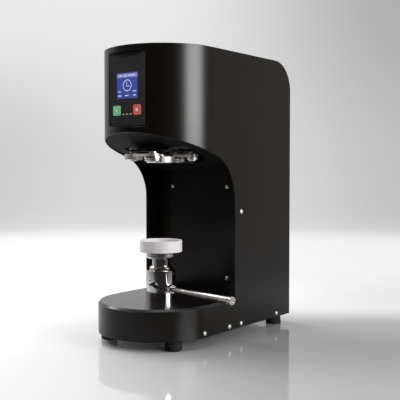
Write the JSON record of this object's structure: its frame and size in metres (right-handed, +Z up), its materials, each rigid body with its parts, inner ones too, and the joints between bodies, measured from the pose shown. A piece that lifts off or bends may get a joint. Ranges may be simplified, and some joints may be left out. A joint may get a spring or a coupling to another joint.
{
  "type": "can seamer",
  "caption": "Bench-top can seamer with a fixed chuck, a turning turret of two seaming arms and a lever-worked helical lift under a white can cup.",
  "frame": {"origin": "on the table surface under the axis of the can and the turret", "axes": "+Z up along the can axis, +X to the lever side, -Y to the front"},
  "size_m": [0.2733, 0.3645, 0.481],
  "materials": {
    "powder_coat": "satin black powder coat",
    "satin_base": "smooth satin black lacquer",
    "frame_steel": "zinc plated",
    "blackened_steel": "blackened",
    "ground_steel": "ground",
    "stainless": "polished stainless steel",
    "screw_steel": "bright plated",
    "cast_grey": "machined cast iron",
    "bronze": "turned",
    "aluminium": "turned",
    "motor_paint": "satin enamel",
    "galvanised": "galvanised sheet",
    "rubber": "matt black rubber",
    "belt_rubber": "matt",
    "white_nylon": "machined white nylon",
    "panel_black": "gloss black film",
    "screen_glass": "lit screen behind clear glass",
    "circuit_green": "circuit board",
    "start_green": "gloss",
    "stop_red": "gloss",
    "black_plastic": "moulded"
  },
  "bodies": {
    "root": {"housing_skin": "powder_coat", "top_back_cover": "powder_coat", "throat_panel": "powder_coat", "head_underside": "powder_coat", "base_skin": "powder_coat", "base_plate": "satin_base", "bottom_pan": "frame_steel", "feet": "rubber", "foot_screws": "screw_steel", "housing_screws": "screw_steel", "panel_screws": "screw_steel", "right_cheek": "frame_steel", "left_cheek": "frame_steel", "head_plate": "blackened_steel", "shaft_bridge": "frame_steel", "motor_plate": "frame_steel", "spindle_housing": "cast_grey", "spindle_bearings": "stainless", "drive_belt": "belt_rubber", "motor": "motor_paint", "chuck_shaft": "stainless", "seaming_chuck": "stainless", "chuck_screw": "screw_steel", "cam_sleeve": "stainless", "gland_ring": "stainless", "guide_bush": "bronze", "panel_frame": "powder_coat", "control_panel": "panel_black", "lcd_screen": "screen_glass", "lcd_module": "circuit_green", "control_board": "circuit_green", "power_supply": "galvanised", "power_inlet": "black_plastic"},
    "lift": {"cup_flange": "stainless", "can_cup": "white_nylon", "thrust_bearing": "screw_steel"},
    "lever": {"lift_shaft": "stainless", "guide_pin": "stainless", "lever_rod": "stainless", "lever_nut": "stainless", "lever_cap": "stainless"},
    "turret": {"spindle": "blackened_steel", "spindle_pulley": "aluminium", "spindle_nut": "blackened_steel", "carrier": "blackened_steel", "pivot_pins": "stainless", "pivot_clips": "screw_steel", "pivot_nuts": "stainless"},
    "arm_1": {"seaming_arm_1": "ground_steel", "roller_pin_1": "stainless"},
    "roller_1": {"seaming_roller_1": "stainless"},
    "arm_2": {"seaming_arm_2": "ground_steel", "roller_pin_2": "stainless"},
    "roller_2": {"seaming_roller_2": "stainless"},
    "motor_rotor": {"motor_shaft": "frame_steel", "motor_pulley": "aluminium"},
    "start_button": {"start_button": "start_green"},
    "stop_button": {"stop_button": "stop_red"},
    "switch_rocker": {"switch_rocker": "black_plastic"}
  },
  "joints": [
    {"name": "lift_slide", "type": "slide", "parent": "root", "child": "lift", "axis": [0, 0, 1], "range_m": [0, 0.01]},
    {"name": "lever_turn", "type": "hinge", "parent": "lift", "child": "lever", "pos_m": [0, 0, 0.0862], "axis": [0, 0, -1], "range_deg": [0, 90]},
    {"name": "turret_turn", "type": "hinge", "parent": "root", "child": "turret", "pos_m": [0, 0, 0.3164], "axis": [0, 0, 1], "continuous": true},
    {"name": "motor_turn", "type": "hinge", "parent": "root", "child": "motor_rotor", "pos_m": [0, 0.165, 0.402], "axis": [0, 0, 1], "continuous": true},
    {"name": "arm_1_swing", "type": "hinge", "parent": "turret", "child": "arm_1", "pos_m": [-0.0361, -0.0277, 0.309], "axis": [0, 0, 1], "range_deg": [0, 3.8], "stiffness_Nm_per_rad": 0.4},
    {"name": "arm_2_swing", "type": "hinge", "parent": "turret", "child": "arm_2", "pos_m": [0.04853, 0.02464, 0.309], "axis": [0, 0, 1], "range_deg": [0, 3.8], "stiffness_Nm_per_rad": 0.4},
    {"name": "roller_1_spin", "type": "hinge", "parent": "arm_1", "child": "roller_1", "pos_m": [0.01797, -0.04016, 0.3028], "axis": [0, 0, 1], "continuous": true},
    {"name": "roller_2_spin", "type": "hinge", "parent": "arm_2", "child": "roller_2", "pos_m": [0.0049, 0.04373, 0.3028], "axis": [0, 0, 1], "continuous": true},
    {"name": "start_press", "type": "slide", "parent": "root", "child": "start_button", "axis": [0, 1, 0], "range_m": [0, 0.0012], "stiffness_N_per_m": 300},
    {"name": "stop_press", "type": "slide", "parent": "root", "child": "stop_button", "axis": [0, 1, 0], "range_m": [0, 0.0012], "stiffness_N_per_m": 300},
    {"name": "rocker_tilt", "type": "hinge", "parent": "root", "child": "switch_rocker", "pos_m": [-0.045, 0.2526, 0.088], "axis": [-1, 0, 0], "range_deg": [0, 20]}
  ],
  "couplings": [
    {"joint": "lift_slide", "follows": "lever_turn", "m_per_rad": 0.006366},
    {"joint": "motor_turn", "follows": "turret_turn", "ratio": 2}
  ]
}
